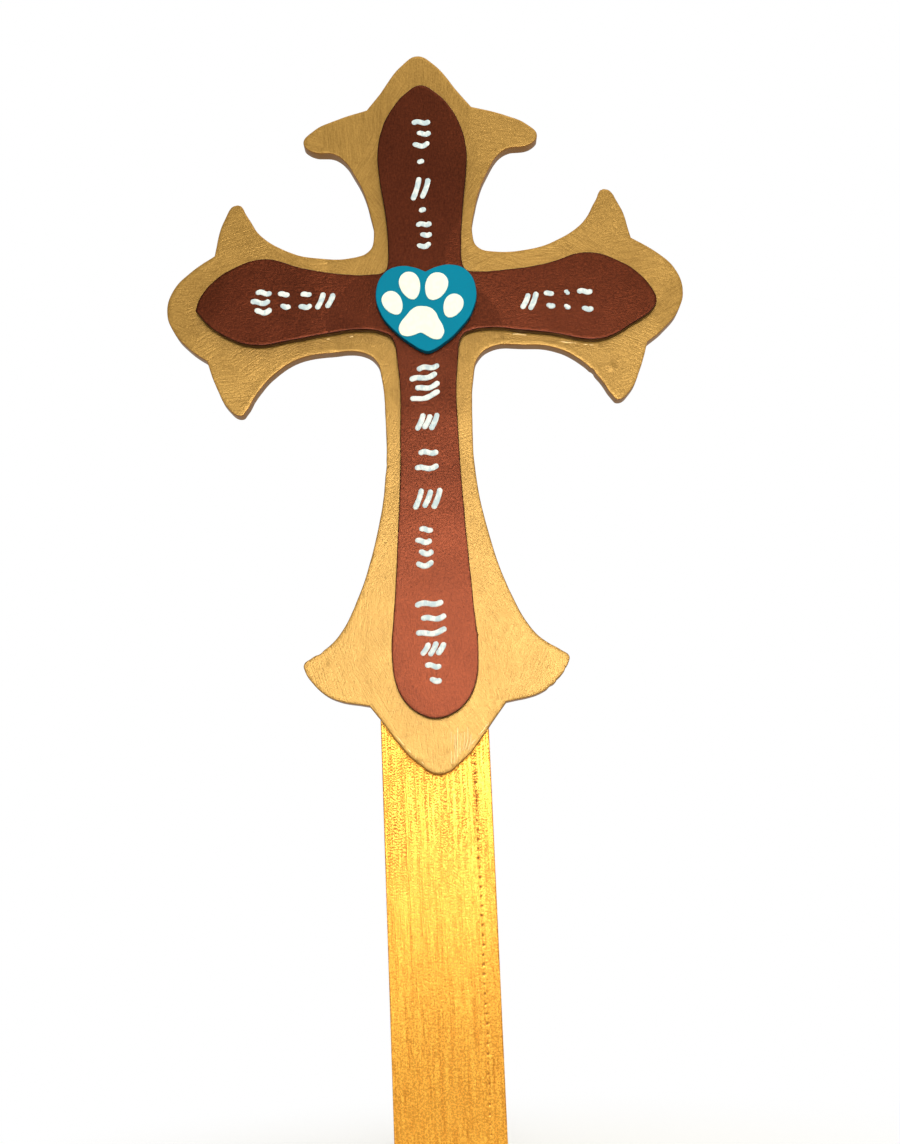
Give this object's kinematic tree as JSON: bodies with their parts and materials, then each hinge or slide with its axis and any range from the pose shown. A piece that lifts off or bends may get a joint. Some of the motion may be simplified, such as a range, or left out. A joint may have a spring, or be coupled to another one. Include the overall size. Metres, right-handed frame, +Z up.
{
  "type": "wooden grave cross",
  "caption": "Hand-cut wooden grave cross with lobed, pointed arms, a smaller cross board and a heart on its face, on a flat stake cut off at ground level.",
  "frame": {"origin": "middle of the stake's foot, which is cut flat at ground level", "axes": "+Z up along the stake, the painted front faces -Y, +X to the right seen from the front"},
  "size_m": [0.19, 0.0216, 0.416],
  "materials": {
    "gold_stake_paint": "metallic gold paint brushed over ribbed softwood grain",
    "gold_board_paint": "metallic gold paint with fine brush marks, satin",
    "red_brown_paint": "red-brown paint with a coppery sheen, satin",
    "teal_paint": "teal craft paint, satin",
    "white_paint": "thick white craft paint on wood, laid on in short strokes"
  },
  "bodies": {
    "root": {"stake": "gold_stake_paint", "outer_cross": "gold_board_paint", "inner_cross": "red_brown_paint", "heart": "teal_paint"}
  },
  "joints": []
}
